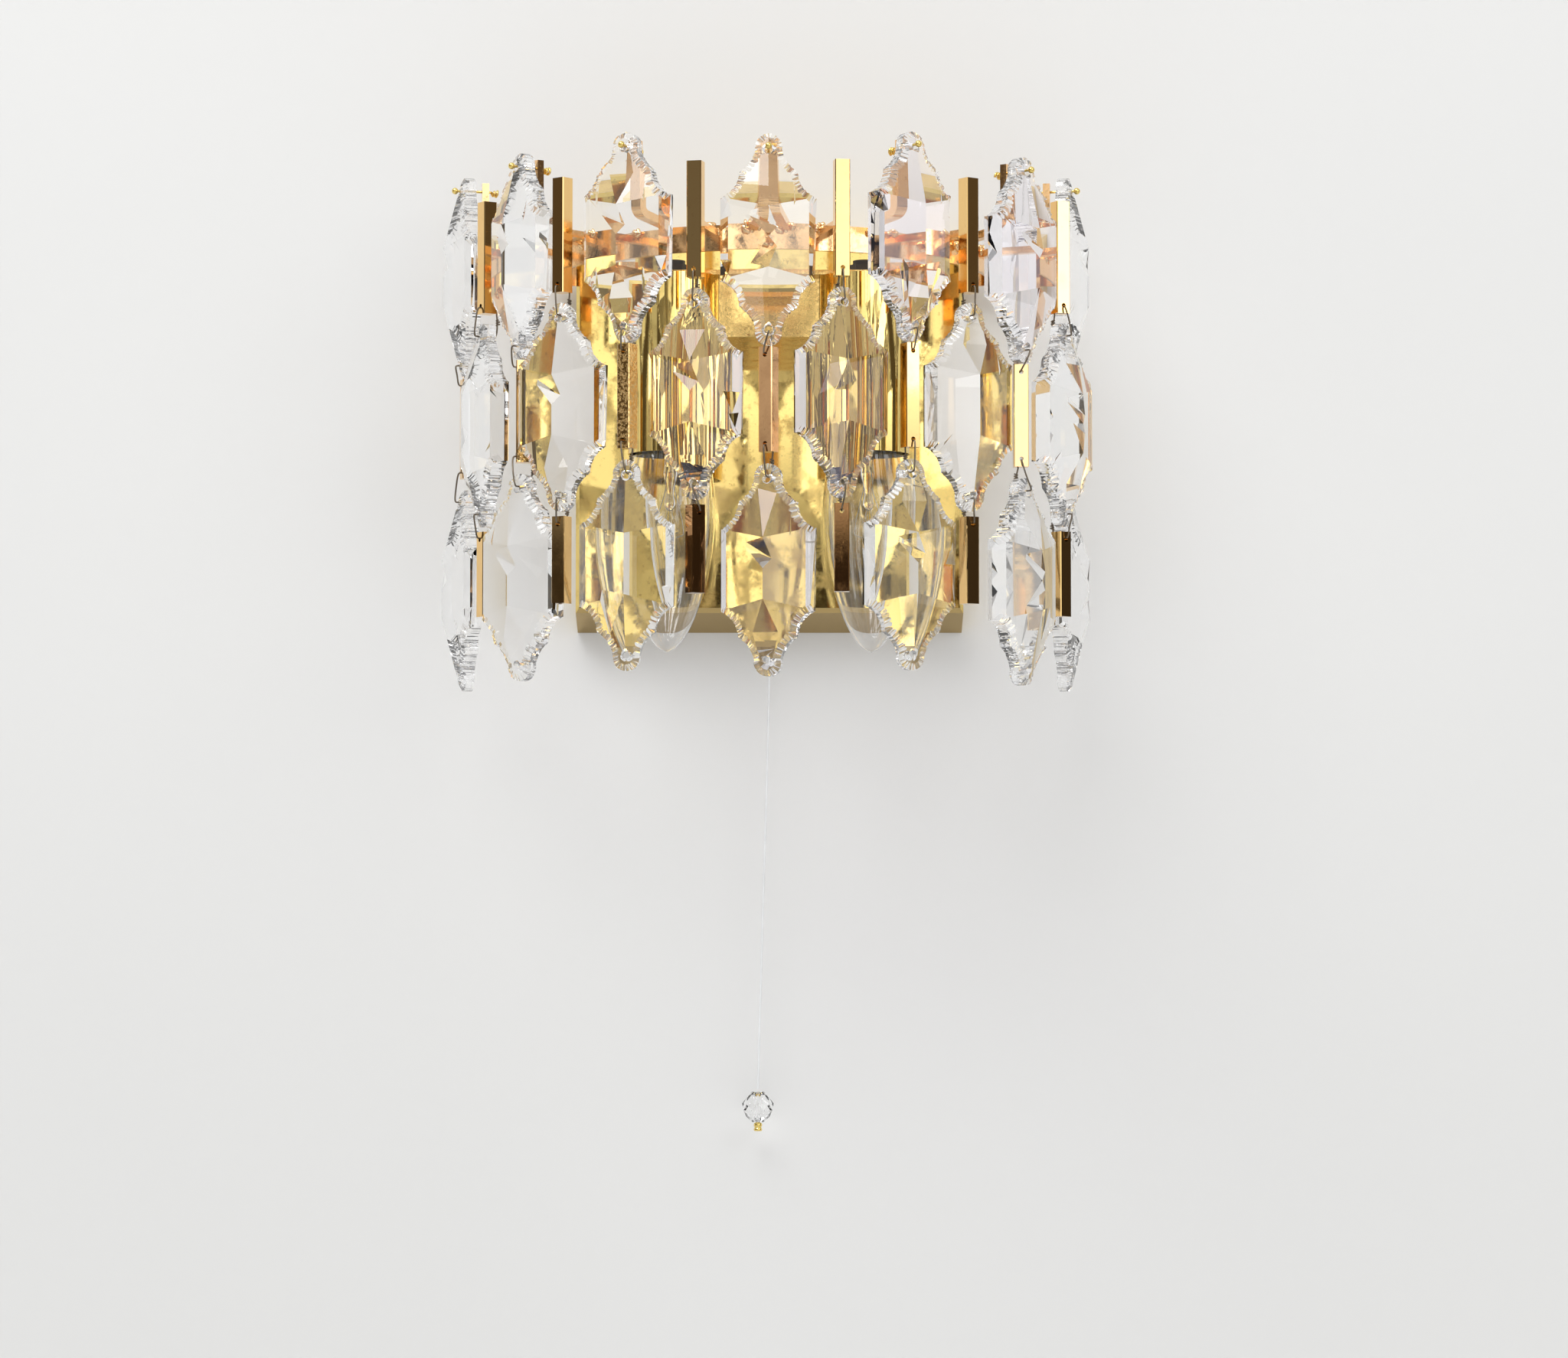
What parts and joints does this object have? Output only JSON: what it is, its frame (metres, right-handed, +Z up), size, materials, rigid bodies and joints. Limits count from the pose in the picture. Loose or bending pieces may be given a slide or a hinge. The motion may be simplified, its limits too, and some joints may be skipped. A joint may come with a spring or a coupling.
{
  "type": "crystal wall sconce",
  "caption": "Half-round wall light: cut crystals and square gilt bars hang on a band before a polished wall tray, round two bulbs in gilt sleeves, with a pull bead.",
  "frame": {"origin": "wall plane at the centre of the mounting strap", "axes": "+Z up, -Y out of the wall towards the room, +X to the right seen from the room"},
  "size_m": [0.2828, 0.1615, 0.422],
  "materials": {
    "gilt_mirror": "mirror polished gilt",
    "gilt_brass": "polished gilt",
    "gilt_bar": "polished gilt, some pitting",
    "pin_brass": "polished",
    "cut_crystal": "clear cut crystal",
    "bulb_glass": "clear",
    "dark_wire": "dull dark",
    "zinc_steel": "zinc plated",
    "black_plastic": "matte",
    "white_plastic": "matte",
    "clear_thread": "clear nylon"
  },
  "bodies": {
    "root": {"wall_tray": "gilt_mirror", "mounting_strap": "zinc_steel", "fixing_screws": "gilt_brass", "terminal_block": "white_plastic", "ring_frame": "gilt_brass", "upper_bars": "gilt_bar", "crystal_pins": "pin_brass", "lamp_bridge": "gilt_brass", "lamp_sleeves": "gilt_brass", "lampholders": "black_plastic", "bulbs": "bulb_glass", "pull_switch": "white_plastic"},
    "upper_hang_1": {"top_crystal_1": "cut_crystal"},
    "bar_hang_1": {"mid_bar_1": "gilt_bar", "a_wires_1": "dark_wire"},
    "lower_hang_1": {"low_crystal_1": "cut_crystal"},
    "upper_hang_2": {"top_crystal_2": "cut_crystal"},
    "bar_hang_2": {"mid_bar_2": "gilt_bar", "a_wires_2": "dark_wire"},
    "lower_hang_2": {"low_crystal_2": "cut_crystal"},
    "upper_hang_3": {"top_crystal_3": "cut_crystal"},
    "bar_hang_3": {"mid_bar_3": "gilt_bar", "a_wires_3": "dark_wire"},
    "lower_hang_3": {"low_crystal_3": "cut_crystal"},
    "upper_hang_4": {"top_crystal_4": "cut_crystal"},
    "bar_hang_4": {"mid_bar_4": "gilt_bar", "a_wires_4": "dark_wire"},
    "lower_hang_4": {"low_crystal_4": "cut_crystal"},
    "upper_hang_5": {"top_crystal_5": "cut_crystal"},
    "bar_hang_5": {"mid_bar_5": "gilt_bar", "a_wires_5": "dark_wire"},
    "lower_hang_5": {"low_crystal_5": "cut_crystal"},
    "upper_hang_6": {"top_crystal_6": "cut_crystal"},
    "bar_hang_6": {"mid_bar_6": "gilt_bar", "a_wires_6": "dark_wire"},
    "lower_hang_6": {"low_crystal_6": "cut_crystal"},
    "upper_hang_7": {"top_crystal_7": "cut_crystal"},
    "bar_hang_7": {"mid_bar_7": "gilt_bar", "a_wires_7": "dark_wire"},
    "lower_hang_7": {"low_crystal_7": "cut_crystal"},
    "middle_hang_1": {"mid_crystal_1": "cut_crystal", "b_wires_1": "dark_wire"},
    "end_hang_1": {"low_bar_1": "gilt_bar"},
    "middle_hang_2": {"mid_crystal_2": "cut_crystal", "b_wires_2": "dark_wire"},
    "end_hang_2": {"low_bar_2": "gilt_bar"},
    "middle_hang_3": {"mid_crystal_3": "cut_crystal", "b_wires_3": "dark_wire"},
    "end_hang_3": {"low_bar_3": "gilt_bar"},
    "middle_hang_4": {"mid_crystal_4": "cut_crystal", "b_wires_4": "dark_wire"},
    "end_hang_4": {"low_bar_4": "gilt_bar"},
    "middle_hang_5": {"mid_crystal_5": "cut_crystal", "b_wires_5": "dark_wire"},
    "end_hang_5": {"low_bar_5": "gilt_bar"},
    "middle_hang_6": {"mid_crystal_6": "cut_crystal", "b_wires_6": "dark_wire"},
    "end_hang_6": {"low_bar_6": "gilt_bar"},
    "pull": {"pull_thread": "clear_thread", "pull_bead": "cut_crystal"}
  },
  "joints": [
    {"name": "top_crystal_1_sway", "type": "hinge", "parent": "root", "child": "upper_hang_1", "pos_m": [-0.13177, -0.04005, 0.1095], "axis": [-0.9622, -0.2723, 0], "range_deg": [-1, 1]},
    {"name": "mid_bar_1_sway", "type": "hinge", "parent": "upper_hang_1", "child": "bar_hang_1", "pos_m": [-0.13177, -0.04005, 0.0326], "axis": [-0.9622, -0.2723, 0], "range_deg": [-1, 1]},
    {"name": "low_crystal_1_sway", "type": "hinge", "parent": "bar_hang_1", "child": "lower_hang_1", "pos_m": [-0.13177, -0.04005, -0.0275], "axis": [-0.9622, -0.2723, 0], "range_deg": [-2, 2]},
    {"name": "top_crystal_2_sway", "type": "hinge", "parent": "root", "child": "upper_hang_2", "pos_m": [-0.10459, -0.09578, 0.111], "axis": [-0.7965, -0.6046, 0], "range_deg": [-1.5, 1.5]},
    {"name": "mid_bar_2_sway", "type": "hinge", "parent": "upper_hang_2", "child": "bar_hang_2", "pos_m": [-0.10459, -0.09578, 0.0341], "axis": [-0.7965, -0.6046, 0], "range_deg": [-1.5, 1.5]},
    {"name": "low_crystal_2_sway", "type": "hinge", "parent": "bar_hang_2", "child": "lower_hang_2", "pos_m": [-0.10459, -0.09578, -0.026], "axis": [-0.527, -0.8499, 0], "range_deg": [-4, 4]},
    {"name": "top_crystal_3_sway", "type": "hinge", "parent": "root", "child": "upper_hang_3", "pos_m": [-0.05891, -0.13564, 0.113], "axis": [-0.3971, -0.9178, 0], "range_deg": [-1.5, 1.5]},
    {"name": "mid_bar_3_sway", "type": "hinge", "parent": "upper_hang_3", "child": "bar_hang_3", "pos_m": [-0.05891, -0.13564, 0.0361], "axis": [-0.3971, -0.9178, 0], "range_deg": [-1.5, 1.5]},
    {"name": "low_crystal_3_sway", "type": "hinge", "parent": "bar_hang_3", "child": "lower_hang_3", "pos_m": [-0.05891, -0.13564, -0.024], "axis": [-0.0941, -0.9956, 0], "range_deg": [-4, 4]},
    {"name": "top_crystal_4_sway", "type": "hinge", "parent": "root", "child": "upper_hang_4", "pos_m": [0, -0.15, 0.11], "axis": [0, -1, 0], "range_deg": [-1.5, 1.5]},
    {"name": "mid_bar_4_sway", "type": "hinge", "parent": "upper_hang_4", "child": "bar_hang_4", "pos_m": [0, -0.15, 0.0331], "axis": [0, -1, 0], "range_deg": [-1.5, 1.5]},
    {"name": "low_crystal_4_sway", "type": "hinge", "parent": "bar_hang_4", "child": "lower_hang_4", "pos_m": [0, -0.15, -0.027], "axis": [-0.2079, -0.9781, 0], "range_deg": [-4, 4]},
    {"name": "top_crystal_5_sway", "type": "hinge", "parent": "root", "child": "upper_hang_5", "pos_m": [0.05891, -0.13564, 0.1134], "axis": [0.565, -0.8251, 0], "range_deg": [-1.5, 1.5]},
    {"name": "mid_bar_5_sway", "type": "hinge", "parent": "upper_hang_5", "child": "bar_hang_5", "pos_m": [0.05891, -0.13564, 0.0365], "axis": [0.565, -0.8251, 0], "range_deg": [-1.5, 1.5]},
    {"name": "low_crystal_5_sway", "type": "hinge", "parent": "bar_hang_5", "child": "lower_hang_5", "pos_m": [0.05891, -0.13564, -0.0236], "axis": [0.2656, -0.9641, 0], "range_deg": [-4, 4]},
    {"name": "top_crystal_6_sway", "type": "hinge", "parent": "root", "child": "upper_hang_6", "pos_m": [0.10712, -0.09566, 0.1092], "axis": [0.7252, -0.6885, 0], "range_deg": [-1.5, 1.5]},
    {"name": "mid_bar_6_sway", "type": "hinge", "parent": "upper_hang_6", "child": "bar_hang_6", "pos_m": [0.10712, -0.09566, 0.0323], "axis": [0.6882, -0.7256, 0], "range_deg": [-1.5, 1.5]},
    {"name": "low_crystal_6_sway", "type": "hinge", "parent": "bar_hang_6", "child": "lower_hang_6", "pos_m": [0.10712, -0.09566, -0.0278], "axis": [0.7488, -0.6628, 0], "range_deg": [-4, 4]},
    {"name": "top_crystal_7_sway", "type": "hinge", "parent": "root", "child": "upper_hang_7", "pos_m": [0.1288, -0.03964, 0.1095], "axis": [0.9622, -0.2723, 0], "range_deg": [-1, 1]},
    {"name": "mid_bar_7_sway", "type": "hinge", "parent": "upper_hang_7", "child": "bar_hang_7", "pos_m": [0.1288, -0.03964, 0.0326], "axis": [0.9622, -0.2723, 0], "range_deg": [-1, 1]},
    {"name": "low_crystal_7_sway", "type": "hinge", "parent": "bar_hang_7", "child": "lower_hang_7", "pos_m": [0.1288, -0.03964, -0.0275], "axis": [0.9622, -0.2723, 0], "range_deg": [-2, 2]},
    {"name": "mid_crystal_1_sway", "type": "hinge", "parent": "root", "child": "middle_hang_1", "pos_m": [-0.12206, -0.06674, 0.05455], "axis": [-0.8374, -0.5465, 0], "range_deg": [-1.6, 1.6]},
    {"name": "low_bar_1_sway", "type": "hinge", "parent": "middle_hang_1", "child": "end_hang_1", "pos_m": [-0.12206, -0.06674, -0.04555], "axis": [-0.8649, -0.502, 0], "range_deg": [-4.5, 4.5]},
    {"name": "mid_crystal_2_sway", "type": "hinge", "parent": "root", "child": "middle_hang_2", "pos_m": [-0.08698, -0.11794, 0.05675], "axis": [-0.632, -0.775, 0], "range_deg": [-2.5, 2.5]},
    {"name": "low_bar_2_sway", "type": "hinge", "parent": "middle_hang_2", "child": "end_hang_2", "pos_m": [-0.08698, -0.11794, -0.04335], "axis": [-0.4878, -0.873, 0], "range_deg": [-5, 5]},
    {"name": "mid_crystal_3_sway", "type": "hinge", "parent": "root", "child": "middle_hang_3", "pos_m": [-0.03032, -0.14636, 0.05915], "axis": [-0.2368, -0.9715, 0], "range_deg": [-2.5, 2.5]},
    {"name": "low_bar_3_sway", "type": "hinge", "parent": "middle_hang_3", "child": "end_hang_3", "pos_m": [-0.03032, -0.14636, -0.04095], "axis": [0.5344, -0.8453, 0], "range_deg": [-5, 5]},
    {"name": "mid_crystal_4_sway", "type": "hinge", "parent": "root", "child": "middle_hang_4", "pos_m": [0.03032, -0.14636, 0.05975], "axis": [0.1513, -0.9885, 0], "range_deg": [-2.5, 2.5]},
    {"name": "low_bar_4_sway", "type": "hinge", "parent": "middle_hang_4", "child": "end_hang_4", "pos_m": [0.03032, -0.14636, -0.04035], "axis": [-0.0052, -1, 0], "range_deg": [-5, 5]},
    {"name": "mid_crystal_5_sway", "type": "hinge", "parent": "root", "child": "middle_hang_5", "pos_m": [0.08414, -0.11846, 0.05655], "axis": [0.5892, -0.808, 0], "range_deg": [-2.5, 2.5]},
    {"name": "low_bar_5_sway", "type": "hinge", "parent": "middle_hang_5", "child": "end_hang_5", "pos_m": [0.08414, -0.11846, -0.04355], "axis": [0.5015, -0.8652, 0], "range_deg": [-5, 5]},
    {"name": "mid_crystal_6_sway", "type": "hinge", "parent": "root", "child": "middle_hang_6", "pos_m": [0.12582, -0.06812, 0.05455], "axis": [0.4206, -0.9073, 0], "range_deg": [-1.6, 1.6]},
    {"name": "low_bar_6_sway", "type": "hinge", "parent": "middle_hang_6", "child": "end_hang_6", "pos_m": [0.12582, -0.06812, -0.04555], "axis": [0.641, -0.7675, 0], "range_deg": [-4.5, 4.5]},
    {"name": "pull_switch_cord", "type": "slide", "parent": "root", "child": "pull", "axis": [0, 0, -1], "range_m": [0, 0.007], "stiffness_N_per_m": 400}
  ]
}
